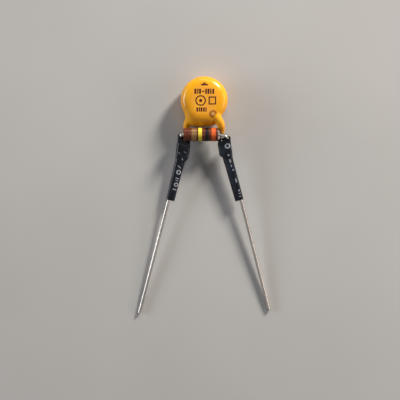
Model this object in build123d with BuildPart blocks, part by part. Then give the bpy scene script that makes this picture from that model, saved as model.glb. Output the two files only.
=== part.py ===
from build123d import *
import os

# Ceramic disc capacitor with a carbon composition resistor wired across it, lying face up.
# Lengths are in millimetres. +Z is up, +Y points from the lead tips to the disc, and the
# origin is under the middle of the whole part, on the surface that it lies on.
# A drop is a distance below the disc's centre, towards the lead tips.

# Ceramic disc, its electrodes and its epoxy coating
ceramic_diameter = 7.2
ceramic_thickness = 2.0
ceramic_edge = 0.15
electrode_margin = 0.4
electrode_thickness = 0.06
rim_coat = 0.75
face_coat = 0.38
face_crown = 0.2
rim_radius = 1.4

# Short leads of the capacitor, and the legs that the coating forms on them
lead_diameter = 0.6
leg_coat = 0.36
solder_spot_x = 1.35
solder_spot_drop = 2.2
solder_pad_diameter = 1.7
solder_pad_height = 0.42
solder_pad_edge = 0.2
solder_bump_rise = 0.07
elbow_inset = 0.3
elbow_bend = 1.0
leg_taper_start = 0.55
leg_end_diameter = 0.86
web_depth = 0.33
web_proud = 0.2
web_edge = 0.75

# Carbon composition resistor, and the gaps that it is wired in with
resistor_diameter = 2.5
resistor_length = 6.6
resistor_edge = 0.2
resistor_centre_x = -0.63
web_to_resistor = 0.67
leg_under_resistor = 0.28
leg_beside_resistor = 0.58
leg_end_lap = 0.5
case_wall = 0.5
case_end_wall = 0.9
lead_embedment = 0.8
head_diameter = 0.9
head_thickness = 0.2
paint_thickness = 0.04

# Colour bands: place of each along the case, as a share of its length, and its width
bands = {
    "orange_band": (0.073, 0.8),
    "black_band": (0.276, 0.62),
    "yellow_band": (0.467, 0.7),
    "gold_band": (0.624, 0.95),
}

# Splices: the long leads of the resistor beside the short leads of the capacitor
splice_below_resistor = 0.2
splice_spacing = 1.15
short_lead_shift = 0.06
left_splice_length = 2.6
right_splice_length = 1.95
left_splice_sink = 1.23
right_splice_sink = 0.8
solder_cover = 0.12
solder_start = 0.35
solder_length = 1.5

# Long leads, from the splice to the tip. A splay is a shift away from the middle.
waist_fall = 3.35
left_waist_splay = 0.46
right_waist_splay = 0.52
left_sleeve_splay = 1.82
right_sleeve_splay = 2.04
sleeve_fall = 10.95
left_bare_fall = 21.5
right_bare_fall = 20.9
tip_span = 24.7

# Bends of the leads
right_kink_gap = 0.28
right_shoulder_reach = 1.55
right_shoulder_fall = 0.5
shoulder_bend = 0.42
route_bend = 0.7
gentle_bend = 6.0
left_dip_fall = 0.1
left_dip_rise = 0.05
right_dip_fall = 0.35
crossing_gap = 0.3

# Heat-shrink sleeves
sleeve_wall = 0.18
sleeve_clearance = 0.05
collar_gap = 0.01
left_collar_length = 1.44
right_collar_length = 0.7
mouth_flare = 0.1
mouth_length = 1.2
shrink_length = 1.1
waist_slack = 0.66
end_slack = 0.45

# Levels of the capacitor: its coated back lies on the surface
lead_radius = lead_diameter / 2
leg_radius = lead_radius + leg_coat
electrode_diameter = ceramic_diameter - 2 * electrode_margin
electrode_offset = ceramic_thickness / 2 + electrode_thickness
lead_offset = electrode_offset + lead_radius
half_thickness = lead_offset + lead_radius + face_coat
back_level = half_thickness - lead_offset
front_level = half_thickness + lead_offset
disc_radius = ceramic_diameter / 2 + rim_coat

# Drops, from the disc down to the lead tips
elbow_drop = disc_radius - elbow_inset
leg_taper_drop = disc_radius + leg_taper_start
web_drop = disc_radius + web_depth
resistor_drop = web_drop + web_to_resistor + resistor_diameter / 2
leg_end_drop = resistor_drop - leg_end_lap
splice_drop = resistor_drop + resistor_diameter / 2 + splice_below_resistor
waist_drop = splice_drop + waist_fall
sleeve_end_drop = splice_drop + sleeve_fall
left_tip_drop = sleeve_end_drop + left_bare_fall
right_tip_drop = sleeve_end_drop + right_bare_fall
disc_y = (max(left_tip_drop, right_tip_drop) - disc_radius) / 2

# Places across the part: the resistor lies between the left collar and the right leg
collar_radius = lead_radius + sleeve_clearance + sleeve_wall
resistor_left = resistor_centre_x - resistor_length / 2
resistor_right = resistor_centre_x + resistor_length / 2
resistor_level = back_level + leg_radius + leg_under_resistor + resistor_diameter / 2
leg_x = resistor_right + leg_beside_resistor
left_splice_x = collar_radius + collar_gap - resistor_left
right_splice_x = leg_x + short_lead_shift + splice_spacing

os.makedirs("parts", exist_ok=True)


def finish(piece, name):
    """Names a finished piece and writes it."""
    piece.part.label = name
    export_step(piece.part, f"parts/{name}.step")


def spot(x, drop, level):
    """A point from its place across the part, its drop and its level."""
    return Vector(x, disc_y - drop, level)


def between(start, end, drop):
    """The point at a drop on the straight line through two points."""
    share = (disc_y - drop - start.Y) / (end.Y - start.Y)
    return start + (end - start) * share


def inward(way, side):
    """Level direction across a lead that runs along way, towards the middle of the part."""
    return Vector(0, 0, 1).cross(way).normalized() * -side


def fall_level(splice_level, tip_drop, drop):
    """Level of a long lead on its even fall from the splice to its tip on the surface."""
    share = (drop - splice_drop) / (tip_drop - splice_drop)
    return splice_level + (lead_radius - splice_level) * share


# Turning points of the long leads. The left one turns down at the resistor's end, the right
# one crosses over the short lead of the capacitor first.
left_splice_level = resistor_level - left_splice_sink
right_splice_level = resistor_level - right_splice_sink

left_head = spot(resistor_left + case_end_wall + lead_embedment, resistor_drop, resistor_level)
left_shoulder = spot(-left_splice_x, resistor_drop, resistor_level)
left_splice = spot(-left_splice_x, splice_drop, left_splice_level)
left_waist = spot(
    -left_splice_x - left_waist_splay,
    waist_drop,
    fall_level(left_splice_level, left_tip_drop, waist_drop),
)
left_exit = spot(
    left_waist.X - left_sleeve_splay,
    sleeve_end_drop,
    fall_level(left_splice_level, left_tip_drop, sleeve_end_drop),
)
left_tip = spot(-tip_span / 2, left_tip_drop, lead_radius)

right_head = spot(resistor_right - case_end_wall - lead_embedment, resistor_drop, resistor_level)
right_kink = spot(resistor_right + right_kink_gap, resistor_drop, resistor_level)
right_shoulder = right_kink + Vector(right_shoulder_reach, -right_shoulder_fall, 0)
right_splice = spot(right_splice_x, splice_drop, right_splice_level)
right_waist = spot(
    right_splice_x + right_waist_splay,
    waist_drop,
    fall_level(right_splice_level, right_tip_drop, waist_drop),
)
right_exit = spot(
    right_waist.X + right_sleeve_splay,
    sleeve_end_drop,
    fall_level(right_splice_level, right_tip_drop, sleeve_end_drop),
)
right_tip = spot(tip_span / 2, right_tip_drop, lead_radius)

# Turning points of the short leads. Each runs down its face of the disc, turns at the elbow
# and lies beside the long lead in the splice, where it is cut off.
left_splice_way = (left_waist - left_splice).normalized()
right_splice_way = (right_waist - right_splice).normalized()
back_splice = left_splice + inward(left_splice_way, -1) * splice_spacing
front_splice = right_splice + inward(right_splice_way, 1) * splice_spacing

back_start = spot(-solder_spot_x, solder_spot_drop, back_level)
back_elbow = spot(-leg_x, elbow_drop, back_level)
back_dip = spot(-leg_x, resistor_drop + left_dip_fall, back_level + left_dip_rise)
back_end = back_splice + left_splice_way * left_splice_length

front_start = spot(solder_spot_x, solder_spot_drop, front_level)
front_elbow = spot(leg_x, elbow_drop, front_level)
front_dip = spot(leg_x, resistor_drop + right_dip_fall, resistor_level - lead_diameter - crossing_gap)
front_end = front_splice + right_splice_way * right_splice_length


def wire(points, bends):
    """Bent round wire through turning points, as part of the piece being built."""
    with BuildLine() as route:
        FilletPolyline(*points, radius=bends)
    with BuildSketch(Plane(origin=route.line @ 0, z_dir=route.line % 0)) as section:
        Circle(lead_radius)
    sweep(section.sketch, path=route.line)


with BuildPart() as left_resistor_lead:
    wire(
        [left_head, left_shoulder, left_splice, left_waist, left_exit, left_tip],
        [shoulder_bend, route_bend, gentle_bend, gentle_bend],
    )
    with BuildSketch(Plane(origin=left_head, z_dir=(-1, 0, 0))):
        Circle(head_diameter / 2)
    extrude(amount=head_thickness)
finish(left_resistor_lead, "left_resistor_lead")

with BuildPart() as right_resistor_lead:
    wire(
        [right_head, right_kink, right_shoulder, right_splice, right_waist, right_exit, right_tip],
        [route_bend, route_bend, route_bend, gentle_bend, gentle_bend],
    )
    with BuildSketch(Plane(origin=right_head, z_dir=(1, 0, 0))):
        Circle(head_diameter / 2)
    extrude(amount=head_thickness)
finish(right_resistor_lead, "right_resistor_lead")

with BuildPart() as back_lead:
    wire([back_start, back_elbow, back_dip, back_splice, back_end], [elbow_bend, route_bend, route_bend])
finish(back_lead, "back_lead")

with BuildPart() as front_lead:
    wire([front_start, front_elbow, front_dip, front_splice, front_end], [elbow_bend, route_bend, route_bend])
finish(front_lead, "front_lead")

# Ceramic disc, with a fired silver electrode on each face
with BuildPart() as ceramic_disc:
    with BuildSketch(Plane(origin=(0, disc_y, half_thickness - ceramic_thickness / 2))):
        Circle(ceramic_diameter / 2)
    extrude(amount=ceramic_thickness)
    fillet(ceramic_disc.edges().filter_by(GeomType.CIRCLE), ceramic_edge)
finish(ceramic_disc, "ceramic_disc")

with BuildPart() as front_electrode:
    with BuildSketch(Plane(origin=(0, disc_y, half_thickness + ceramic_thickness / 2))):
        Circle(electrode_diameter / 2)
    extrude(amount=electrode_thickness)
finish(front_electrode, "front_electrode")

with BuildPart() as back_electrode:
    with BuildSketch(Plane(origin=(0, disc_y, half_thickness - electrode_offset))):
        Circle(electrode_diameter / 2)
    extrude(amount=electrode_thickness)
finish(back_electrode, "back_electrode")

# Solder that holds the end of each short lead to its electrode
with BuildPart() as front_solder:
    with BuildSketch(Plane(origin=(front_start.X, front_start.Y, half_thickness + electrode_offset))):
        Circle(solder_pad_diameter / 2)
    extrude(amount=solder_pad_height)
    fillet(front_solder.faces().sort_by(Axis.Z)[-1].edges(), solder_pad_edge)
    add(front_lead.part, mode=Mode.SUBTRACT)
finish(front_solder, "front_solder")

back_pad_level = half_thickness - electrode_offset - solder_pad_height
with BuildPart() as back_solder:
    with BuildSketch(Plane(origin=(back_start.X, back_start.Y, back_pad_level))):
        Circle(solder_pad_diameter / 2)
    extrude(amount=solder_pad_height)
    fillet(back_solder.faces().sort_by(Axis.Z)[0].edges(), solder_pad_edge)
    add(back_lead.part, mode=Mode.SUBTRACT)
finish(back_solder, "back_solder")

# Epoxy coating, dipped over the disc and down both leads. Its back is flat where it lies and
# its front is slightly crowned. A web joins the legs below the disc, and a bump shows where
# the front lead starts. The parts that it is moulded round are taken out of it.
face_level = 2 * half_thickness
web_thickness = ceramic_thickness + 2 * web_proud


def leg(start, elbow, dip):
    """Coated lead from its start on the disc to the tapered end of the leg."""
    taper = between(elbow, dip, leg_taper_drop)
    end = between(elbow, dip, leg_end_drop)
    with BuildLine() as route:
        FilletPolyline(start, elbow, taper, radius=elbow_bend)
    with BuildSketch(Plane(origin=route.line @ 0, z_dir=route.line % 0)) as section:
        Circle(leg_radius)
    sweep(section.sketch, path=route.line)
    with BuildSketch(Plane(origin=taper, z_dir=end - taper)) as wide_section:
        Circle(leg_radius)
    with BuildSketch(Plane(origin=end, z_dir=end - taper)) as end_section:
        Circle(leg_end_diameter / 2)
    loft([wide_section.sketch, end_section.sketch])


with BuildPart() as epoxy_coating:
    with BuildSketch(Plane.XY.offset(half_thickness - web_thickness / 2)):
        with BuildLine():
            Polyline(
                (-leg_x, disc_y),
                (-leg_x, disc_y - web_drop),
                (leg_x, disc_y - web_drop),
                (leg_x, disc_y),
                close=True,
            )
        make_face()
    extrude(amount=web_thickness)
    fillet(epoxy_coating.faces().sort_by(Axis.Y)[0].edges(), web_edge)
    with BuildSketch(Plane.XZ.offset(-disc_y)) as disc_profile:
        with BuildLine():
            Line((0, 0), (disc_radius, 0))
            Line((disc_radius, 0), (disc_radius, face_level - face_crown))
            Bezier((disc_radius, face_level - face_crown), (disc_radius / 2, face_level), (0, face_level))
            Line((0, face_level), (0, 0))
        make_face()
        fillet(disc_profile.vertices().group_by(Axis.X)[-1], rim_radius)
    revolve(axis=Axis((0, disc_y, 0), (0, 0, 1)))
    leg(back_start, back_elbow, back_dip)
    leg(front_start, front_elbow, front_dip)
    with Locations(front_start):
        Sphere(leg_radius + solder_bump_rise)
    for piece in (
        ceramic_disc, front_electrode, back_electrode, front_solder, back_solder, front_lead, back_lead
    ):
        add(piece.part, mode=Mode.SUBTRACT)
finish(epoxy_coating, "epoxy_coating")

# Resistor: a carbon slug moulded into a phenolic case, with painted colour bands
case_start = Plane(
    origin=(resistor_left, disc_y - resistor_drop, resistor_level), x_dir=(0, 1, 0), z_dir=(1, 0, 0)
)
core_length = resistor_length - 2 * case_end_wall
resistor_leads = [left_resistor_lead.part, right_resistor_lead.part]

with BuildPart() as resistor_core:
    with BuildSketch(case_start.offset(case_end_wall)):
        Circle(resistor_diameter / 2 - case_wall)
    extrude(amount=core_length)
    add(resistor_leads, mode=Mode.SUBTRACT)
finish(resistor_core, "resistor_core")

with BuildPart() as resistor_case:
    with BuildSketch(case_start):
        Circle(resistor_diameter / 2)
    extrude(amount=resistor_length)
    fillet(resistor_case.edges().filter_by(GeomType.CIRCLE), resistor_edge)
    with BuildSketch(case_start.offset(case_end_wall)):
        Circle(resistor_diameter / 2 - case_wall)
    extrude(amount=core_length, mode=Mode.SUBTRACT)
    add(resistor_leads, mode=Mode.SUBTRACT)
finish(resistor_case, "resistor_case")

for band_name, (band_place, band_width) in bands.items():
    band_end = resistor_length * (1 - band_place)
    with BuildPart() as band:
        with BuildSketch(case_start.offset(band_end - band_width)):
            Circle(resistor_diameter / 2 + paint_thickness)
            Circle(resistor_diameter / 2, mode=Mode.SUBTRACT)
        extrude(amount=band_width)
    finish(band, band_name)


def slot(centre, way, side, slack, fit):
    """Slot section round two lines a slack apart, the outer one at centre."""
    with BuildSketch(Plane(origin=centre, x_dir=inward(way, side), z_dir=way)) as section:
        with Locations((slack / 2, 0)):
            SlotOverall(slack + 2 * fit, 2 * fit)
    return section.sketch


# Solder that joins the leads side by side in each splice
def splice_solder(side, splice, way):
    """Solder round both leads, from below the top of the splice."""
    start = splice + way * solder_start
    extrude(slot(start, way, side, splice_spacing, lead_radius + solder_cover), amount=solder_length)


with BuildPart() as left_splice_solder:
    splice_solder(-1, left_splice, left_splice_way)
    add([left_resistor_lead.part, back_lead.part], mode=Mode.SUBTRACT)
finish(left_splice_solder, "left_splice_solder")

with BuildPart() as right_splice_solder:
    splice_solder(1, right_splice, right_splice_way)
    add([right_resistor_lead.part, front_lead.part], mode=Mode.SUBTRACT)
finish(right_splice_solder, "right_splice_solder")

# Heat-shrink sleeves. A sleeve is wide over the splice and, below the cut end of the short
# lead, lies slack on the inner side of the long lead. Its collar is snug round the long lead.
splice_fit = lead_radius + solder_cover + sleeve_clearance
lead_fit = lead_radius + sleeve_clearance


def sleeve(side, shoulder, splice, waist, sleeve_exit, splice_length, collar_length):
    """Sleeve from its collar and mouth above the splice to its open lower end."""
    way = (sleeve_exit - splice).normalized()
    collar_way = (splice - shoulder).normalized()
    collar_start = Plane(origin=splice - collar_way * collar_length, z_dir=collar_way)
    shrink_drop = splice_drop + splice_length + shrink_length
    stations = (
        (splice_drop - mouth_flare, splice_spacing, splice_fit + mouth_flare),
        (splice_drop + mouth_length, splice_spacing, splice_fit),
        (splice_drop + splice_length - lead_radius, splice_spacing, splice_fit),
        (shrink_drop, waist_slack, lead_fit),
        (sleeve_end_drop, end_slack, lead_fit),
    )
    for wall, mode in ((sleeve_wall, Mode.ADD), (0, Mode.SUBTRACT)):
        sections = []
        for drop, slack, fit in stations:
            run = (waist, sleeve_exit) if drop > waist_drop else (splice, waist)
            sections.append(slot(between(*run, drop), way, side, slack, fit + wall))
        loft(sections, ruled=True, mode=mode)
        with BuildSketch(collar_start) as collar_section:
            Circle(lead_fit + wall)
        extrude(collar_section.sketch, amount=collar_length, mode=mode)


with BuildPart() as left_sleeve:
    sleeve(-1, left_shoulder, left_splice, left_waist, left_exit, left_splice_length, left_collar_length)
finish(left_sleeve, "left_sleeve")

with BuildPart() as right_sleeve:
    sleeve(1, right_shoulder, right_splice, right_waist, right_exit, right_splice_length, right_collar_length)
finish(right_sleeve, "right_sleeve")
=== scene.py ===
import math

import bmesh
import bpy
from mathutils import Matrix, Vector


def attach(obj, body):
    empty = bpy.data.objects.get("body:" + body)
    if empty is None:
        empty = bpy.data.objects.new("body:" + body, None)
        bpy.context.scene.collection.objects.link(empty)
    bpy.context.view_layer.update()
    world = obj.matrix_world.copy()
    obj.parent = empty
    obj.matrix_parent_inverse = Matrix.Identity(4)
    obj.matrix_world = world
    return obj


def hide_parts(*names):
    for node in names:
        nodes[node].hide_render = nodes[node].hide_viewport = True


# Looks of a ceramic disc capacitor with a resistor wired across it, lying face up.
# Lengths in this file are in millimetres where they are written, and in metres once
# they have been through mm() or at().

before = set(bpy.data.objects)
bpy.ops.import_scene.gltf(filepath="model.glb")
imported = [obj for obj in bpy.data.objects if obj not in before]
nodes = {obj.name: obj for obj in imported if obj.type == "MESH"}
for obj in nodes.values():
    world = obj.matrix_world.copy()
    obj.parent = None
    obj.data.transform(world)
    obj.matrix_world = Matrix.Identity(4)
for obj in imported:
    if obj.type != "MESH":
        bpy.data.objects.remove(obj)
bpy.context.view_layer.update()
scene = bpy.context.scene

DISC_Y = 18.075  # the disc's centre; a drop is a distance from it towards the lead tips

MATH = "ShaderNodeMath"
VECTOR_MATH = "ShaderNodeVectorMath"
MAP_RANGE = "ShaderNodeMapRange"


def mm(length):
    """Metres from millimetres."""
    return length / 1000


def at(x, drop, level):
    """A point in metres from its place across, its drop below the disc's centre and its level."""
    return Vector((mm(x), mm(DISC_Y - drop), mm(level)))


def linear(code):
    """Linear colour from an sRGB hex value."""
    parts = [int(code[i:i + 2], 16) / 255 for i in (1, 3, 5)]
    return [c / 12.92 if c <= 0.04045 else ((c + 0.055) / 1.055) ** 2.4 for c in parts] + [1.0]


def add(tree, kind, inputs=(), **settings):
    """Adds a node, makes its settings, and fills or links its inputs, by name or in their order."""
    node = tree.nodes.new(kind)
    for name, value in settings.items():
        setattr(node, name, value)
    for key, value in inputs.items() if isinstance(inputs, dict) else enumerate(inputs):
        if isinstance(value, bpy.types.Node):
            value = value.outputs[0]
        if isinstance(value, bpy.types.NodeSocket):
            tree.links.new(value, node.inputs[key])
        else:
            node.inputs[key].default_value = value
    return node


def smooth(share):
    """Share from 0 to 1 with an even start and end."""
    share = min(max(share, 0.0), 1.0)
    return share * share * (3 - 2 * share)


# Materials

PATCH_EDGES = (0.35, 0.65)  # noise values where a colour patch starts and is full
NOISE_SPREAD = (0.3, 0.7)  # noise values between which most of a noise lies


def material(name, colour, roughness, metallic=0.0):
    """A surface with its shader, and object coordinates to hang patterns on."""
    made = bpy.data.materials.new(name)
    made.use_nodes = True
    tree = made.node_tree
    shader = tree.nodes["Principled BSDF"]
    shader.inputs["Base Color"].default_value = linear(colour)
    shader.inputs["Roughness"].default_value = roughness
    shader.inputs["Metallic"].default_value = metallic
    place = add(tree, "ShaderNodeTexCoord")
    return made, tree, shader, place.outputs["Object"]


def grained(tree, place, grain, stretch, detail):
    """Noise with a grain in millimetres, scaled along each axis."""
    scaled = add(tree, "ShaderNodeMapping", {"Vector": place, "Scale": stretch})
    noise = add(tree, "ShaderNodeTexNoise", {"Vector": scaled, "Scale": 1000 / grain, "Detail": detail})
    return noise.outputs[0]


def mottle(tree, shader, place, grain, low, high, stretch=(1, 1, 1)):
    """Colour that drifts between two hex values over patches of a grain in millimetres."""
    ramp = add(tree, "ShaderNodeValToRGB", {"Fac": grained(tree, place, grain, stretch, 3.0)})
    for stop, position, code in zip(ramp.color_ramp.elements, PATCH_EDGES, (low, high)):
        stop.position = position
        stop.color = linear(code)
    tree.links.new(ramp.outputs[0], shader.inputs["Base Color"])
    return ramp.outputs[0]


def relief(tree, shader, place, grain, depth, stretch=(1, 1, 1)):
    """Fine unevenness of a grain and a depth in millimetres."""
    noise = grained(tree, place, grain, stretch, 2.0)
    bump = add(tree, "ShaderNodeBump", {"Height": noise, "Distance": mm(depth), "Strength": 1.0})
    tree.links.new(bump.outputs[0], shader.inputs["Normal"])
    return noise


def gloss_range(tree, shader, noise, low, high):
    """Roughness that follows a noise between two values."""
    span = add(tree, MAP_RANGE, (noise, *NOISE_SPREAD, low, high))
    tree.links.new(span.outputs[0], shader.inputs["Roughness"])


# Dipped epoxy: a disc dipped twice and cured, so it is glossy, with a soft orange peel, and it thins to a
# pinkish centre where the solder joint stands under it. The brown ring round that centre is painted shade of
# the bump.
SOLDER_SPOT = at(1.68, 2.75, 4.0)
SPOT_RADIUS = 1.0  # where the ring's tint and painted shade have gone
LEG_SIDE = (0.7, -0.7, 0.0)  # from the spot towards the front leg
LEG_FADE = (0.3, 0.62)  # how far to that side the tint and painted shade stop
epoxy, tree, shader, place = material("dipped_yellow_epoxy", "#eba10c", 0.26)
body_colour = mottle(tree, shader, place, 2.4, "#e69809", "#eea710")
shader.inputs["IOR"].default_value = 1.5
shader.inputs["Specular IOR Level"].default_value = 0.42
relief(tree, shader, place, 0.9, 0.012)
offset = add(tree, VECTOR_MATH, {0: place, 1: SOLDER_SPOT}, operation="SUBTRACT")
reach = add(tree, VECTOR_MATH, {0: offset.outputs[0]}, operation="LENGTH")
spot_share = add(tree, MAP_RANGE, {"Value": reach.outputs["Value"], "From Max": mm(SPOT_RADIUS)})
spot_tint_and_shade = add(tree, "ShaderNodeValToRGB", (spot_share,))
spot_tint_and_shade.color_ramp.elements[0].color = linear("#cf9a5c")
spot_tint_and_shade.color_ramp.elements[1].color = linear("#eba01c")
# The darker stops are a brown ring of painted shade round the bump; the pale centre is the thin coat over
# the joint
for stop, shade in ((0.22, "#cb9350"), (0.4, "#a0600f"), (0.66, "#9c5c0c"), (0.84, "#dc921a")):
    spot_tint_and_shade.color_ramp.elements.new(stop).color = linear(shade)
# The tint and the painted shade have a soft edge, and stop where the front leg leaves the spot
spot_edge = add(tree, MAP_RANGE, (spot_share, 0.74, 0.95, 1.0, 0.0))
leg_side = add(tree, VECTOR_MATH, (offset, LEG_SIDE), operation="DOT_PRODUCT").outputs["Value"]
leg_fade = add(
    tree, MAP_RANGE, (leg_side, mm(LEG_FADE[0]), mm(LEG_FADE[1]), 1.0, 0.0),
    interpolation_type="SMOOTHSTEP",
)
spot_and_shade_mask = add(tree, MATH, (spot_edge, leg_fade), operation="MULTIPLY")
tinted_and_shaded = add(tree, "ShaderNodeMix", {"Factor": spot_and_shade_mask, 6: body_colour, 7: spot_tint_and_shade}, data_type="RGBA")
tree.links.new(tinted_and_shaded.outputs[2], shader.inputs["Base Color"])

# Marking ink on the epoxy: dark brown, printed thin, a little duller than the coat.
brown_ink, tree, shader, place = material("brown_marking_ink", "#4a1604", 0.55)
shader.inputs["Specular IOR Level"].default_value = 0.2
mottle(tree, shader, place, 0.25, "#2e0b01", "#5c2006")

# Polyolefin heat-shrink: bluish black, satin, with faint waves drawn out along the film, and paler bluish
# streaks in its colour that are painted sheen.
polyolefin, tree, shader, place = material("black_polyolefin_film", "#080a0e", 0.3)
shader.inputs["Specular IOR Level"].default_value = 0.24
# Painted sheen: the colour drifts to paler bluish streaks drawn out along the film, in place of glints
mottle(tree, shader, place, 0.9, "#020307", "#151d28", stretch=(1, 0.45, 1))
film_noise = relief(tree, shader, place, 0.8, 0.1, stretch=(1, 0.35, 1))
gloss_range(tree, shader, film_noise, 0.2, 0.38)

# Printing ink on the sleeves: whitish grey, broken where it did not take on the film.
white_ink, tree, shader, place = material("whitish_printing_ink", "#a0a3ab", 0.55)
mottle(tree, shader, place, 0.18, "#7c8089", "#aeb1ba")

# Tinned copper wire: warm grey tin, with faint marks drawn along its length.
tinned, tree, shader, place = material("tinned_copper_wire", "#aaa59e", 0.28, metallic=1.0)
mottle(tree, shader, place, 2.0, "#a49f98", "#b6b1aa", stretch=(1, 0.2, 1))
wire_noise = relief(tree, shader, place, 0.4, 0.002, stretch=(1, 0.1, 1))
gloss_range(tree, shader, wire_noise, 0.15, 0.21)

# Tin-lead solder: a duller grey than the wire, with a frosty grain.
solder, tree, shader, place = material("tin_lead_solder", "#a9abad", 0.4, metallic=1.0)
mottle(tree, shader, place, 0.3, "#929497", "#b9bbbd")
relief(tree, shader, place, 0.2, 0.01)

# Fired silver paste: matte pale metal with a chalky grain.
silver, tree, shader, place = material("fired_silver_paste", "#d4d2cb", 0.55, metallic=1.0)
mottle(tree, shader, place, 0.4, "#c3c1ba", "#dddbd5")
relief(tree, shader, place, 0.1, 0.004)

# Barium titanate ceramic: pressed and fired, matte tan.
ceramic, tree, shader, place = material("fired_titanate_ceramic", "#a08a6c", 0.75)
mottle(tree, shader, place, 0.3, "#94805f", "#ab9678")
relief(tree, shader, place, 0.08, 0.006)

# Moulded phenolic: reddish brown, waxed, with a coarse filler that shows as small pits.
phenolic, tree, shader, place = material("moulded_phenolic_resin", "#5e2c15", 0.3)
shader.inputs["Specular IOR Level"].default_value = 0.26
mottle(tree, shader, place, 0.5, "#4f220e", "#683016")
filler = relief(tree, shader, place, 0.3, 0.02)
gloss_range(tree, shader, filler, 0.24, 0.38)

# Carbon and resin slug: flat dark grey.
carbon, tree, shader, place = material("carbon_resin_slug", "#1a1a1a", 0.8)
mottle(tree, shader, place, 0.15, "#121212", "#262626")
relief(tree, shader, place, 0.1, 0.006)


def band_paint(name, low, high, roughness, metallic=0.0):
    """Baked paint ring: opaque and satin, thicker in streaks that run round the case."""
    paint, tree, shader, place = material(name, high, roughness, metallic)
    shader.inputs["Specular IOR Level"].default_value = 0.26
    mottle(tree, shader, place, 0.35, low, high, stretch=(3, 1, 1))
    relief(tree, shader, place, 0.3, 0.012, stretch=(2, 1, 1))
    return paint


orange_paint = band_paint("orange_band_paint", "#c2501c", "#e0662c", 0.28)
black_paint = band_paint("black_band_paint", "#060202", "#100504", 0.34)
yellow_paint = band_paint("yellow_band_paint", "#d6bc30", "#f0d84a", 0.28)
gold_paint = band_paint("gold_bronze_paint", "#7c5c38", "#a07c54", 0.3, metallic=0.5)

for name, finish in (
    ("ceramic_disc", ceramic),
    ("front_electrode", silver),
    ("back_electrode", silver),
    ("front_solder", solder),
    ("back_solder", solder),
    ("left_splice_solder", solder),
    ("right_splice_solder", solder),
    ("front_lead", tinned),
    ("back_lead", tinned),
    ("left_resistor_lead", tinned),
    ("right_resistor_lead", tinned),
    ("resistor_case", phenolic),
    ("resistor_core", carbon),
    ("orange_band", orange_paint),
    ("black_band", black_paint),
    ("yellow_band", yellow_paint),
    ("gold_band", gold_paint),
):
    nodes[name].data.materials.clear()
    nodes[name].data.materials.append(finish)


def new_piece(name, mesh):
    """An object at the origin, in the scene."""
    piece = bpy.data.objects.new(name, mesh)
    scene.collection.objects.link(piece)
    return piece


def settled(piece, name):
    """The piece with its modifiers made plain mesh. The working object is removed."""
    graph = bpy.context.evaluated_depsgraph_get()
    mesh = bpy.data.meshes.new_from_object(piece.evaluated_get(graph))
    bpy.data.objects.remove(piece)
    mesh.name = name
    return new_piece(name, mesh)


# Epoxy coating: one skin that runs over the disc, down a web and over both leads. The tree
# finds how far a point is from each of them, and each joint is filled like a wet coat.
RIM_POWER = 4.8  # how square the disc's side is; more is squarer
FACE_POWER = 2.5  # how flat its faces are
INTO_DEPTH = -1000.0  # metres outside the skin to millimetres inside it

coat_tree = bpy.data.node_groups.new("dipped_coat", "GeometryNodeTree")
coat_face = coat_tree.interface
coat_face.new_socket("Lead Lines", in_out="INPUT", socket_type="NodeSocketGeometry")
coat_sockets = {
    name: coat_face.new_socket(name, in_out="INPUT", socket_type="NodeSocket" + kind)
    for name, kind in (
        ("Disc Centre", "Vector"), ("Disc Radius", "Float"), ("Half Thickness", "Float"),
        ("Web Centre", "Vector"), ("Web Half Size", "Vector"), ("Web Edge", "Float"),
        ("Joint Centre", "Vector"), ("Joint Radius", "Float"), ("Web Fillet", "Float"),
        ("Leg Fillet", "Float"), ("Joint Fillet", "Float"), ("Low Corner", "Vector"),
        ("High Corner", "Vector"), ("Grain", "Float"), ("Coat", "Material"),
    )
}
coat_face.new_socket("Coating", in_out="OUTPUT", socket_type="NodeSocketGeometry")
given = add(coat_tree, "NodeGroupInput").outputs
here = add(coat_tree, "GeometryNodeInputPosition")

# Disc: a coin with a domed face, flat in the middle and round at the rim
from_centre = add(coat_tree, VECTOR_MATH, (here, given["Disc Centre"]), operation="SUBTRACT")
from_disc = add(coat_tree, "ShaderNodeSeparateXYZ", (from_centre,)).outputs
square_y = add(coat_tree, MATH, (from_disc["Y"], from_disc["Y"]), operation="MULTIPLY")
square_xy = add(coat_tree, MATH, (from_disc["X"], from_disc["X"], square_y), operation="MULTIPLY_ADD")
radial = add(coat_tree, MATH, (square_xy,), operation="SQRT")
radial_share = add(coat_tree, MATH, (radial, given["Disc Radius"]), operation="DIVIDE")
round_part = add(coat_tree, MATH, (radial_share, RIM_POWER), operation="POWER")
height_share = add(coat_tree, MATH, (from_disc["Z"], given["Half Thickness"]), operation="DIVIDE")
height_size = add(coat_tree, MATH, (height_share,), operation="ABSOLUTE")
height_part = add(coat_tree, MATH, (height_size, FACE_POWER), operation="POWER")
both_parts = add(coat_tree, MATH, (round_part, height_part), operation="ADD")
coin = add(coat_tree, MATH, (both_parts, 1 / FACE_POWER), operation="POWER")
past_coin = add(coat_tree, MATH, (coin, 1.0), operation="SUBTRACT")
disc_gap = add(coat_tree, MATH, (past_coin, given["Half Thickness"]), operation="MULTIPLY")

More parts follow.
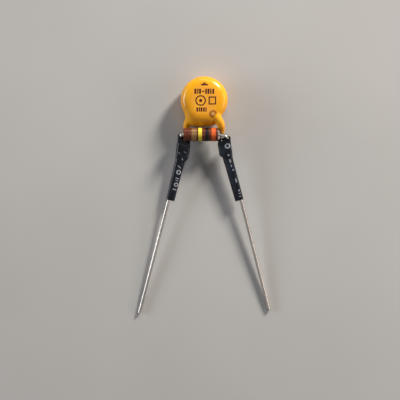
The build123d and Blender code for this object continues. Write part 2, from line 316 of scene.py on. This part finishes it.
# Web: a block with rounded edges between the leads
from_web = add(coat_tree, VECTOR_MATH, (here, given["Web Centre"]), operation="SUBTRACT")
web_sides = add(coat_tree, VECTOR_MATH, (from_web,), operation="ABSOLUTE")
past_sides = add(coat_tree, VECTOR_MATH, (web_sides, given["Web Half Size"]), operation="SUBTRACT")
past_core = add(coat_tree, VECTOR_MATH, (past_sides, given["Web Edge"]), operation="ADD")
beyond_core = add(coat_tree, VECTOR_MATH, (past_core, (0.0, 0.0, 0.0)), operation="MAXIMUM")
outside = add(coat_tree, VECTOR_MATH, (beyond_core,), operation="LENGTH").outputs["Value"]
core = add(coat_tree, "ShaderNodeSeparateXYZ", (past_core,)).outputs
core_yz = add(coat_tree, MATH, (core["Y"], core["Z"]), operation="MAXIMUM")
core_most = add(coat_tree, MATH, (core["X"], core_yz), operation="MAXIMUM")
inside = add(coat_tree, MATH, (core_most, 0.0), operation="MINIMUM")
core_gap = add(coat_tree, MATH, (outside, inside), operation="ADD")
web_gap = add(coat_tree, MATH, (core_gap, given["Web Edge"]), operation="SUBTRACT")

# Legs: thick round the leads and thinner to their ends, by the radius at the nearest point
line_points = add(coat_tree, "GeometryNodeMeshToPoints", (given["Lead Lines"],))
near_line = add(coat_tree, "GeometryNodeProximity", (given["Lead Lines"],), target_element="EDGES")
written_radius = add(coat_tree, "GeometryNodeInputNamedAttribute", ("leg_radius",), data_type="FLOAT")
nearest = add(coat_tree, "GeometryNodeSampleNearest", (line_points,), domain="POINT")
leg_radius = add(
    coat_tree, "GeometryNodeSampleIndex",
    {"Geometry": line_points, "Value": written_radius, "Index": nearest},
    data_type="FLOAT", domain="POINT",
)
leg_gap = add(coat_tree, MATH, (near_line.outputs["Distance"], leg_radius), operation="SUBTRACT")

# Joint: the coat swells over the solder
from_joint = add(coat_tree, VECTOR_MATH, (here, given["Joint Centre"]), operation="DISTANCE")
joint_gap = add(
    coat_tree, MATH, (from_joint.outputs["Value"], given["Joint Radius"]), operation="SUBTRACT"
)

body_gap = add(coat_tree, MATH, (disc_gap, web_gap, given["Web Fillet"]), operation="SMOOTH_MIN")
legs_gap = add(coat_tree, MATH, (body_gap, leg_gap, given["Leg Fillet"]), operation="SMOOTH_MIN")
coat_gap = add(coat_tree, MATH, (legs_gap, joint_gap, given["Joint Fillet"]), operation="SMOOTH_MIN")
depth = add(coat_tree, MATH, (coat_gap, INTO_DEPTH), operation="MULTIPLY")
box_size = add(
    coat_tree, VECTOR_MATH, (given["High Corner"], given["Low Corner"]), operation="SUBTRACT"
)
box_grains = add(coat_tree, VECTOR_MATH, (box_size, given["Grain"]), operation="DIVIDE")
grains = add(coat_tree, "ShaderNodeSeparateXYZ", (box_grains,)).outputs
block = add(
    coat_tree, "GeometryNodeVolumeCube",
    {
        "Density": depth, "Background": -1.0, "Min": given["Low Corner"], "Max": given["High Corner"],
        "Resolution X": grains["X"], "Resolution Y": grains["Y"], "Resolution Z": grains["Z"],
    },
)
coat_skin = add(coat_tree, "GeometryNodeVolumeToMesh", {"Volume": block, "Threshold": 0.0})
coat_real = add(coat_tree, "GeometryNodeRealizeInstances", (coat_skin,))
coated = add(coat_tree, "GeometryNodeSetMaterial", {"Geometry": coat_real, "Material": given["Coat"]})
add(coat_tree, "NodeGroupOutput", {"Coating": coated})


LINE_STEPS = 12  # points from one corner of a lead to the next


def lead_lines(name, lines):
    """Mesh of bent lines with a coat radius at each point. A point is x, drop, level and radius."""
    mesh = bpy.data.meshes.new(name)
    points, edges, radii = [], [], []
    for line in lines:
        for start, end in zip(line, line[1:]):
            for i in range(LINE_STEPS + (end is line[-1])):
                x, drop, level, radius = (a + (b - a) * i / LINE_STEPS for a, b in zip(start, end))
                if points and i + (start is not line[0]):
                    edges.append((len(points) - 1, len(points)))
                points.append(at(x, drop, level))
                radii.append(mm(radius))
    mesh.from_pydata(points, edges, [])
    mesh.attributes.new("leg_radius", "FLOAT", "POINT").data.foreach_set("value", radii)
    return mesh


# The leads under the coat, from the disc down. The back one leaves from under the disc, on the
# left, and the front one from the solder spot, on the right.
BACK_LEG = (
    (-2.3, 2.6, 1.8, 0.7), (-2.7, 3.4, 1.65, 0.72), (-3.06, 4.1, 1.45, 0.73), (-3.28, 4.75, 1.15, 0.71),
    (-3.33, 5.3, 0.95, 0.66), (-3.33, 5.8, 0.8, 0.56), (-3.33, 6.2, 0.72, 0.42),
)
FRONT_LEG = (
    (2.0, 3.0, 3.3, 0.58), (2.43, 3.45, 3.2, 0.7), (2.8, 3.95, 3.08, 0.77), (3.07, 4.45, 2.95, 0.79),
    (3.22, 5.0, 2.8, 0.74), (3.32, 5.5, 2.58, 0.62), (3.4, 5.95, 2.38, 0.48), (3.46, 6.3, 2.22, 0.34),
)
JOINT_RADIUS = 0.62
WEB_HALF_SIZE = (3.15, 1.84, 1.83)

coat_work = new_piece("epoxy_work", lead_lines("lead_lines", (BACK_LEG, FRONT_LEG)))
dip = coat_work.modifiers.new("dip", "NODES")
dip.node_group = coat_tree
for name, value in (
    ("Disc Centre", at(0, 0, 2.04)), ("Disc Radius", mm(4.46)), ("Half Thickness", mm(2.05)),
    ("Web Centre", at(-0.25, 3.17, 1.86)), ("Web Half Size", Vector(mm(v) for v in WEB_HALF_SIZE)),
    ("Web Edge", mm(1.8)), ("Joint Centre", SOLDER_SPOT - Vector((0, 0, mm(JOINT_RADIUS)))),
    ("Joint Radius", mm(JOINT_RADIUS)), ("Web Fillet", mm(1.45)), ("Leg Fillet", mm(0.65)),
    ("Joint Fillet", mm(0.35)), ("Low Corner", at(-5.2, 7.0, -0.4)), ("High Corner", at(5.2, -5.0, 4.8)),
    ("Grain", mm(0.07)), ("Coat", epoxy),
):
    dip[coat_sockets[name].identifier] = list(value) if isinstance(value, Vector) else value
flow = coat_work.modifiers.new("flow", "SMOOTH")
flow.factor = 0.5
flow.iterations = 4
epoxy_coat = settled(coat_work, "epoxy_coat")
# No point may end up under the surface that the part lies on
for vertex in epoxy_coat.data.vertices:
    vertex.co.z = max(vertex.co.z, 0.0)
work = bmesh.new()
work.from_mesh(epoxy_coat.data)
bmesh.ops.recalc_face_normals(work, faces=work.faces)
work.to_mesh(epoxy_coat.data)
work.free()
epoxy_coat.data.shade_smooth()


# Heat-shrink sleeves: film that follows a route along the wire. Its section is one lobe round
# the wire and one lobe on the inner side, and the tables say how both change on the way.
FILM_WALL = 0.16
ROUTE_STEP = 0.09
ROUTE_BEND = 0.3  # how far from a corner the route starts to turn
BEND_STEPS = 8
POINTS_ROUND = 96
LOBE_BLEND = 0.45  # share of the width over which one lobe becomes the other
MOUTH_FADE = 1.2  # how far past its collar a mouth still slants
PLEATS = 11.0
NO_SIZE = 1e-7  # metres; a loop this small has no width of its own
END_MARGIN = 0.001  # share of a step that keeps a next point ahead
WELL_INSIDE = 0.2  # from the route to a point inside the film


def route_points(corners, bend, step):
    """Evenly spaced points along straight runs with rounded corners, in millimetres."""
    points = [Vector(corners[0])]
    for before, corner, after in zip(corners, corners[1:], corners[2:]):
        before, corner, after = Vector(before), Vector(corner), Vector(after)
        near, far = (before - corner).normalized(), (after - corner).normalized()
        reach = min(bend, (before - corner).length / 2, (after - corner).length / 2)
        first, last = corner + near * reach, corner + far * reach
        for i in range(BEND_STEPS + 1):
            t = i / BEND_STEPS
            points.append(first * (1 - t) ** 2 + corner * 2 * t * (1 - t) + last * t ** 2)
    points.append(Vector(corners[-1]))
    even = [points[0]]
    left = step
    for start, end in zip(points, points[1:]):
        run = (end - start).length
        done = 0.0
        while run - done >= left:
            done += left
            even.append(start + (end - start) * (done / run))
            left = step
        left -= run - done
    even.append(points[-1])
    return even


def reading(table, drop):
    """Value of a table at a drop, eased from one row to the next."""
    if drop <= table[0][0]:
        return table[0][1]
    for (low, start), (high, end) in zip(table, table[1:]):
        if drop <= high:
            return start + (end - start) * smooth((drop - low) / (high - low))
    return table[-1][1]


sleeve_tree = bpy.data.node_groups.new("film_on_a_wire", "GeometryNodeTree")
sleeve_face = sleeve_tree.interface
sleeve_face.new_socket("Route", in_out="INPUT", socket_type="NodeSocketGeometry")
across_socket = sleeve_face.new_socket("Across", in_out="INPUT", socket_type="NodeSocketVector")
count_socket = sleeve_face.new_socket("Points Round", in_out="INPUT", socket_type="NodeSocketInt")
blend_socket = sleeve_face.new_socket("Lobe Blend", in_out="INPUT", socket_type="NodeSocketFloat")
film_socket = sleeve_face.new_socket("Film", in_out="INPUT", socket_type="NodeSocketMaterial")
sleeve_face.new_socket("Sleeve", in_out="OUTPUT", socket_type="NodeSocketGeometry")
given = add(sleeve_tree, "NodeGroupInput").outputs
read = {
    name: add(sleeve_tree, "GeometryNodeInputNamedAttribute", (name,), data_type=kind).outputs["Attribute"]
    for name, kind in (
        ("turn", "FLOAT"), ("fit", "FLOAT"), ("flat", "FLOAT"), ("valley", "FLOAT"), ("pleat", "FLOAT"),
        ("inner", "FLOAT_VECTOR"), ("rise", "FLOAT_VECTOR"), ("inner_rise", "FLOAT_VECTOR"),
    )
}
line = add(sleeve_tree, "GeometryNodeMeshToCurve", {"Mesh": given["Route"]})
loop = add(
    sleeve_tree, "GeometryNodeCurvePrimitiveCircle",
    {"Resolution": given["Points Round"], "Radius": NO_SIZE},
)
loop_share = add(sleeve_tree, "GeometryNodeSplineParameter")
loop_turn = add(sleeve_tree, MATH, (loop_share.outputs["Factor"], 2 * math.pi), operation="MULTIPLY")
marked_loop = add(
    sleeve_tree, "GeometryNodeStoreNamedAttribute", {"Geometry": loop, "Name": "turn", "Value": loop_turn},
    data_type="FLOAT", domain="POINT",
)
tube = add(sleeve_tree, "GeometryNodeCurveToMesh", {"Curve": line, "Profile Curve": marked_loop})
cosine = add(sleeve_tree, MATH, (read["turn"],), operation="COSINE")
sine = add(sleeve_tree, MATH, (read["turn"],), operation="SINE")
# 0 on the wire's lobe, 1 on the inner lobe
lobe_low = add(sleeve_tree, MATH, (given["Lobe Blend"], -1.0), operation="MULTIPLY")
lobe = add(
    sleeve_tree, MAP_RANGE,
    {"Value": cosine, "From Min": lobe_low, "From Max": given["Lobe Blend"]},
    interpolation_type="SMOOTHSTEP",
)
# The inner lobe lies flatter, the film sags between two wires, and slack film keeps a pleat
flatter = add(sleeve_tree, MATH, (lobe, read["flat"], 1.0), operation="MULTIPLY_ADD")
from_wire = add(sleeve_tree, MATH, (1.0, lobe), operation="SUBTRACT")
between_lobes = add(sleeve_tree, MATH, (lobe, from_wire), operation="MULTIPLY")
sag = add(sleeve_tree, MATH, (between_lobes, read["valley"], flatter), operation="MULTIPLY_ADD")
pleat_turn = add(sleeve_tree, MATH, (read["turn"], PLEATS), operation="MULTIPLY")
pleat_wave = add(sleeve_tree, MATH, (pleat_turn,), operation="COSINE")
pleat_size = add(sleeve_tree, MATH, (lobe, read["pleat"]), operation="MULTIPLY")
pleated = add(sleeve_tree, MATH, (pleat_wave, pleat_size, sag), operation="MULTIPLY_ADD")
height = add(sleeve_tree, MATH, (read["fit"], sine), operation="MULTIPLY")
lift = add(sleeve_tree, MATH, (height, pleated), operation="MULTIPLY")
width = add(sleeve_tree, MATH, (read["fit"], cosine), operation="MULTIPLY")
lean = add(
    sleeve_tree, "ShaderNodeMix", {"Factor": lobe, 4: read["rise"], 5: read["inner_rise"]},
    data_type="VECTOR",
)
side_step = add(sleeve_tree, VECTOR_MATH, {0: given["Across"], "Scale": width}, operation="SCALE")
rise_step = add(sleeve_tree, VECTOR_MATH, {0: lean.outputs[1], "Scale": lift}, operation="SCALE")
lobe_step = add(sleeve_tree, VECTOR_MATH, {0: read["inner"], "Scale": lobe}, operation="SCALE")
two_steps = add(sleeve_tree, VECTOR_MATH, (side_step, rise_step), operation="ADD")
all_steps = add(sleeve_tree, VECTOR_MATH, (two_steps, lobe_step), operation="ADD")
shaped = add(sleeve_tree, "GeometryNodeSetPosition", {"Geometry": tube, "Offset": all_steps})
softened = add(sleeve_tree, "GeometryNodeSetShadeSmooth", {"Geometry": shaped})
real = add(sleeve_tree, "GeometryNodeRealizeInstances", {"Geometry": softened})
filmed = add(sleeve_tree, "GeometryNodeSetMaterial", {"Geometry": real, "Material": given["Film"]})
add(sleeve_tree, "NodeGroupOutput", {"Sleeve": filmed})


def make_sleeve(name, side, corners, collar, tables):
    """Sleeve film on its route. side is 1 where the middle of the part lies towards -X, and
    collar is how much lower the mouth is on the inner lobe than on the wire's."""
    points = route_points(corners, ROUTE_BEND, ROUTE_STEP)
    last = len(points) - 1
    mesh = bpy.data.meshes.new(name + "_route")
    mesh.from_pydata([p / 1000 for p in points], [(i, i + 1) for i in range(last)], [])
    whole = (Vector(corners[-1]) - Vector(corners[-2])).normalized()
    across = Vector((0, 0, 1)).cross(whole).normalized() * -side
    rises = []
    for i in range(last + 1):
        way = (points[min(i + 1, last)] - points[max(i - 1, 0)]).normalized()
        rises.append(way.cross(across).normalized() * -side)
    values = {key: [] for key in tables}
    inner, inner_rises = [], []
    for i, point in enumerate(points):
        mouth = collar * (1 - smooth(i * ROUTE_STEP / (collar + MOUTH_FADE)))
        ahead = min(i + mouth / ROUTE_STEP, last - END_MARGIN)
        share = ahead - int(ahead)
        lobe_point = points[int(ahead)].lerp(points[int(ahead) + 1], share)
        slack = reading(tables["slack"], DISC_Y - lobe_point.y)
        inner += list((lobe_point + across * slack - point) / 1000)
        inner_rises += list(rises[int(ahead)].lerp(rises[int(ahead) + 1], share))
        for key, table in tables.items():
            values[key].append(reading(table, DISC_Y - point.y) * (mm(1) if key == "fit" else 1))
    for key, numbers in values.items():
        mesh.attributes.new(key, "FLOAT", "POINT").data.foreach_set("value", numbers)
    flat_rises = [v for rise in rises for v in rise]
    for key, vectors in (("inner", inner), ("rise", flat_rises), ("inner_rise", inner_rises)):
        mesh.attributes.new(key, "FLOAT_VECTOR", "POINT").data.foreach_set("vector", vectors)
    working = new_piece(name + "_work", mesh)
    shape = working.modifiers.new("film", "NODES")
    shape.node_group = sleeve_tree
    shape[across_socket.identifier] = list(across)
    shape[count_socket.identifier] = POINTS_ROUND
    shape[blend_socket.identifier] = LOBE_BLEND
    shape[film_socket.identifier] = polyolefin
    outer = settled(working, name + "_outer")
    work = bmesh.new()
    work.from_mesh(outer.data)
    work.faces.ensure_lookup_table()
    # The wall is built inwards, so the faces have to look away from the route
    tried = work.faces[len(work.faces) // 2]
    tried_at = tried.calc_center_median()
    nearest = min(points, key=lambda p: (p / 1000 - tried_at).length)
    inside_film = nearest / 1000 + across * mm(WELL_INSIDE)
    if tried.normal.dot(tried_at - inside_film) < 0:
        bmesh.ops.reverse_faces(work, faces=work.faces)
    work.to_mesh(outer.data)
    work.free()
    wall = outer.modifiers.new("wall", "SOLIDIFY")
    wall.thickness = mm(FILM_WALL)
    wall.offset = -1.0
    sleeve = settled(outer, name)
    sleeve.data.shade_smooth()
    return sleeve


# Corners of each route as x, y and level, from the mouth to the lower end
LEFT_ROUTE = ((-4.47, 11.22, 2.655), (-4.47, 10.025, 1.64), (-4.93, 6.675, 1.502), (-6.75, -0.925, 1.188))
RIGHT_ROUTE = ((4.49, 10.83, 2.75), (4.46, 10.025, 2.07), (4.98, 6.675, 1.884), (7.02, -0.925, 1.461))

# Each table has rows of a drop and a value: how far the inner lobe stands off, the size of the
# section, how flat the inner lobe is, how deep the film sags, and how high its pleats are
left_film = make_sleeve(
    "left_sleeve_film", -1, LEFT_ROUTE, 1.0,
    {
        "slack": ((8.0, 1.3), (10.5, 1.24), (11.7, 0.8), (14.0, 0.68), (19.0, 0.62)),
        "fit": ((7.0, 0.55), (7.8, 0.6), (8.6, 0.68), (10.4, 0.64), (11.6, 0.53), (18.6, 0.5), (19.0, 0.46)),
        "flat": ((8.0, -0.1), (10.4, -0.14), (12.0, -0.3), (19.0, -0.38)),
        "valley": ((8.3, -0.6), (10.2, -1.0), (11.4, -0.7), (19.0, -0.6)),
        "pleat": ((10.6, 0.0), (12.0, 0.06), (19.0, 0.08)),
    },
)
right_film = make_sleeve(
    "right_sleeve_film", 1, RIGHT_ROUTE, 0.06,
    {
        "slack": ((7.2, 1.36), (9.95, 1.33), (10.75, 0.84), (12.5, 0.72), (19.0, 0.64)),
        "fit": ((7.3, 0.55), (8.0, 0.6), (10.0, 0.6), (11.0, 0.53), (18.6, 0.5), (19.0, 0.46)),
        "flat": ((7.4, -0.1), (10.0, -0.12), (11.2, -0.3), (19.0, -0.38)),
        "valley": ((7.6, -0.6), (9.8, -0.9), (11.2, -0.7), (19.0, -0.6)),
        "pleat": ((9.8, 0.0), (11.0, 0.06), (19.0, 0.08)),
    },
)


# Print: flat marks that are laid down on a surface and get the thickness of ink
INK_THICKNESS = 0.016
MARK_LEVEL = 6.0  # flat marks start above every piece
MARK_GRAIN = 0.08  # size of a mark's faces
RING_POINTS = 32
FALL_LENGTH = 20.0  # how far down a mark looks for its surface
WELD = 1e-7  # metres; points closer than this are one

print_tree = bpy.data.node_groups.new("print_on_a_surface", "GeometryNodeTree")
print_face = print_tree.interface
print_face.new_socket("Marks", in_out="INPUT", socket_type="NodeSocketGeometry")
surface_socket = print_face.new_socket("Surface", in_out="INPUT", socket_type="NodeSocketObject")
thickness_socket = print_face.new_socket("Thickness", in_out="INPUT", socket_type="NodeSocketFloat")
ink_socket = print_face.new_socket("Ink", in_out="INPUT", socket_type="NodeSocketMaterial")
print_face.new_socket("Print", in_out="OUTPUT", socket_type="NodeSocketGeometry")
given = add(print_tree, "NodeGroupInput").outputs
surface = add(
    print_tree, "GeometryNodeObjectInfo", {"Object": given["Surface"]}, transform_space="RELATIVE"
)
fall = add(
    print_tree, "GeometryNodeRaycast",
    {
        "Target Geometry": surface.outputs["Geometry"], "Ray Direction": (0, 0, -1),
        "Ray Length": mm(FALL_LENGTH),
    },
)
# The ink starts half its thickness under the surface and ends one thickness above it
sunk = add(print_tree, MATH, (given["Thickness"], -0.5), operation="MULTIPLY")
under = add(print_tree, VECTOR_MATH, {0: fall.outputs["Hit Normal"], "Scale": sunk}, operation="SCALE")
laid_at = add(print_tree, VECTOR_MATH, (fall.outputs["Hit Position"], under), operation="ADD")
missed = add(print_tree, "FunctionNodeBooleanMath", (fall.outputs["Is Hit"],), operation="NOT")
held = add(print_tree, "GeometryNodeDeleteGeometry", (given["Marks"], missed), domain="POINT")
laid = add(print_tree, "GeometryNodeSetPosition", {"Geometry": held, "Position": laid_at})
full_height = add(print_tree, MATH, (given["Thickness"], 1.5), operation="MULTIPLY")
raised = add(
    print_tree, "GeometryNodeExtrudeMesh",
    {"Mesh": laid, "Offset": (0, 0, 1), "Offset Scale": full_height, "Individual": False},
    mode="FACES",
)
underside = add(print_tree, "GeometryNodeFlipFaces", (laid,))
both = add(print_tree, "GeometryNodeJoinGeometry")
print_tree.links.new(raised.outputs[0], both.inputs[0])
print_tree.links.new(underside.outputs[0], both.inputs[0])
closed = add(print_tree, "GeometryNodeMergeByDistance", {"Geometry": both, "Distance": WELD})
real = add(print_tree, "GeometryNodeRealizeInstances", {"Geometry": closed})
inked = add(print_tree, "GeometryNodeSetMaterial", {"Geometry": real, "Material": given["Ink"]})
add(print_tree, "NodeGroupOutput", {"Print": inked})


def patch(work, x, drop, width, length, along=(0, -1), turn=0.0):
    """Flat bar of small faces, its length along a direction turned by some degrees."""
    run = Matrix.Rotation(math.radians(turn), 3, "Z") @ Vector((along[0], along[1], 0)).normalized()
    side = Vector((run.y, -run.x, 0))
    rows, columns = max(2, round(length / MARK_GRAIN)), max(2, round(width / MARK_GRAIN))
    middle = at(x, drop, MARK_LEVEL)
    grid = []
    for i in range(rows + 1):
        row_at = middle + run * mm(length * (i / rows - 0.5))
        grid.append([
            work.verts.new(row_at + side * mm(width * (j / columns - 0.5))) for j in range(columns + 1)
        ])
    for i in range(rows):
        for j in range(columns):
            work.faces.new((grid[i][j], grid[i][j + 1], grid[i + 1][j + 1], grid[i + 1][j]))


def ring(work, x, drop, outer, inner):
    """Flat ring, or a dot where its inner radius is small."""
    rows = max(1, round((outer - inner) / MARK_GRAIN))
    middle = at(x, drop, MARK_LEVEL)
    turns = [2 * math.pi * i / RING_POINTS for i in range(RING_POINTS)]
    loops = []
    for i in range(rows + 1):
        radius = mm(inner + (outer - inner) * i / rows)
        loops.append([
            work.verts.new(middle + Vector((math.cos(t), math.sin(t), 0)) * radius) for t in turns
        ])
    for low, high in zip(loops, loops[1:]):
        for i in range(RING_POINTS):
            j = (i + 1) % RING_POINTS
            work.faces.new((low[i], low[j], high[j], high[i]))


def make_print(name, work, surface, ink):
    """Marks laid down on a surface. The marks are flat, above it."""
    work.normal_update()
    for face in work.faces:
        if face.normal.z < 0:
            face.normal_flip()
    mesh = bpy.data.meshes.new(name + "_marks")
    work.to_mesh(mesh)
    work.free()
    working = new_piece(name + "_work", mesh)
    shape = working.modifiers.new("print", "NODES")
    shape.node_group = print_tree
    shape[surface_socket.identifier] = surface
    shape[thickness_socket.identifier] = mm(INK_THICKNESS)
    shape[ink_socket.identifier] = ink
    return settled(working, name)


# Disc: a bar, a row of strokes, a ring with a dot, an open square, and a second row of strokes
work = bmesh.new()
patch(work, 0.05, -2.8, 1.3, 0.3)
patch(work, 0.05, -3.1, 0.6, 0.2)
for x, width, length in (
    (-1.66, 0.34, 0.96), (-1.2, 0.22, 0.96), (-0.78, 0.34, 0.96), (-0.2, 0.44, 0.2),
    (0.36, 0.3, 0.96), (0.82, 0.34, 0.96), (1.26, 0.22, 0.96), (1.72, 0.34, 0.96),
):
    patch(work, x, -1.55, width, length)
ring(work, -0.66, 0.2, 1.0, 0.78)
ring(work, -0.66, 0.2, 0.3, 0.02)
for x, drop, width, length in (
    (0.95, 0.2, 0.2, 1.5), (2.15, 0.2, 0.2, 1.5), (1.55, -0.45, 1.4, 0.2), (1.55, 0.85, 1.4, 0.2),
):
    patch(work, x, drop, width, length)
for x, width in ((-1.3, 0.3), (-0.88, 0.22), (-0.5, 0.3), (-0.05, 0.3), (0.35, 0.22)):
    patch(work, x, 1.9, width, 0.8)
disc_print = make_print("disc_print", work, epoxy_coat, brown_ink)

# Left sleeve: dashes, a ring and dots along the film
work = bmesh.new()
left_way = (-1.82, -7.6)
for x, drop, width, length, turn in (
    (-3.62, 9.95, 0.14, 0.52, 78), (-4.72, 10.1, 0.13, 0.42, 70), (-4.12, 11.3, 0.2, 0.36, 35),
    (-4.72, 12.72, 0.14, 0.8, 62), (-5.12, 14.9, 0.16, 0.62, 80), (-5.22, 15.3, 0.16, 0.5, 80),
    (-5.66, 17.0, 0.18, 0.7, 84),
):
    patch(work, x, drop, width, length, left_way, turn)
ring(work, -4.86, 13.75, 0.44, 0.25)
ring(work, -5.34, 16.1, 0.4, 0.22)
left_print = make_print("left_sleeve_print", work, left_film, white_ink)

# Right sleeve: a ring on the wide part, then bars and dots beside the wire
work = bmesh.new()
right_way = (2.04, -7.6)
for x, drop, width, length in (
    (4.94, 11.6, 0.3, 0.7), (5.16, 12.5, 0.16, 0.5), (5.52, 13.3, 0.3, 0.3), (6.06, 15.3, 0.24, 0.8),
    (6.62, 17.2, 0.34, 0.26), (6.72, 17.75, 0.4, 0.16), (6.86, 18.3, 0.34, 0.16),
):
    patch(work, x, drop, width, length, right_way)
ring(work, 4.42, 8.75, 0.52, 0.26)
ring(work, 4.62, 10.5, 0.2, 0.02)
right_print = make_print("right_sleeve_print", work, right_film, white_ink)

for piece, slot in (
    (epoxy_coat, "epoxy"), (left_film, "sleeve"), (right_film, "sleeve"),
    (disc_print, "black_paint"), (left_print, "tinned_wire"), (right_print, "tinned_wire"),
):
    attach(piece, "root")
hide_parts("epoxy_coating")
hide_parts("left_sleeve")
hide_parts("right_sleeve")


# Matte board: pale grey, the plain floor that the part lies on.
board, tree, shader, place = material("pale_matte_board", "#b7b6b3", 0.9)
shader.inputs["Specular IOR Level"].default_value = 0.1
mottle(tree, shader, place, 30.0, "#b5b4b1", "#b9b8b5")

FLOOR_HALF_SIZE = 1200.0

work = bmesh.new()
bmesh.ops.create_grid(work, x_segments=1, y_segments=1, size=mm(FLOOR_HALF_SIZE))
floor_mesh = bpy.data.meshes.new("floor")
work.to_mesh(floor_mesh)
work.free()
floor = new_piece("floor", floor_mesh)
floor.data.materials.append(board)

# Studio: a dim even light, which looks brighter where it is seen, mirrored or shines through
LIT_LEVEL = 0.05
SEEN_LEVEL = 0.5

sky = bpy.data.worlds.new("studio")
scene.world = sky
sky.use_nodes = True
tree = sky.node_tree
background = tree.nodes["Background"]
background.inputs["Color"].default_value = (1.0, 1.0, 1.0, 1.0)
rays = add(tree, "ShaderNodeLightPath").outputs
seen_or_mirrored = add(tree, MATH, (rays["Is Camera Ray"], rays["Is Glossy Ray"]), operation="MAXIMUM")
shown = add(tree, MATH, (seen_or_mirrored, rays["Is Transmission Ray"]), operation="MAXIMUM")
level = add(tree, MAP_RANGE, {"Value": shown, "To Min": LIT_LEVEL, "To Max": SEEN_LEVEL})
tree.links.new(level.outputs[0], background.inputs["Strength"])

LAMP_AIM = at(0, 3, 2)  # between the disc and the resistor


def soft_box(name, azimuth, elevation, distance, width, height, power, colour):
    """Area lamp, in metres and watts, that looks at the middle of the part's thick end."""
    lamp = bpy.data.lights.new(name, "AREA")
    lamp.shape = "RECTANGLE"
    lamp.size, lamp.size_y = width, height
    lamp.energy = power
    lamp.color = linear(colour)[:3]
    holder = bpy.data.objects.new(name, lamp)
    scene.collection.objects.link(holder)
    turn, rise = math.radians(azimuth), math.radians(elevation)
    way = Vector((math.cos(turn) * math.cos(rise), math.sin(turn) * math.cos(rise), math.sin(rise)))
    holder.location = LAMP_AIM + way * distance
    holder.rotation_euler = way.to_track_quat("Z", "Y").to_euler()


soft_box("key_light", 52, 22, 0.45, 0.085, 0.085, 3.1, "#fffaf2")
soft_box("side_light", 172, 15, 0.45, 0.32, 0.1, 1.4, "#f0f4ff")
soft_box("right_light", 2, 18, 0.45, 0.3, 0.1, 0.7, "#ffe8e4")
soft_box("far_light", 92, 22, 0.45, 0.14, 0.1, 0.3, "#ffffff")
soft_box("top_light", 80, 78, 0.6, 0.3, 0.3, 0.3, "#ffffff")

# The photograph looks straight down on the part, and 76 mm of the floor fill its width
PICTURE_WIDTH = 76.0
CAMERA_HEIGHT = 400.0
PICTURE_LEVEL = 2.0  # the level at which that width is measured
SENSOR = 36.0

camera = bpy.data.cameras.new("camera")
viewer = bpy.data.objects.new("camera", camera)
scene.collection.objects.link(viewer)
scene.camera = viewer
camera.sensor_fit = "HORIZONTAL"
camera.sensor_width = SENSOR
camera.lens = SENSOR * CAMERA_HEIGHT / PICTURE_WIDTH
viewer.location = (mm(-0.79), mm(-0.94), mm(PICTURE_LEVEL + CAMERA_HEIGHT))
viewer.rotation_euler = (0.0, 0.0, 0.0)

scene.view_settings.view_transform = "Standard"
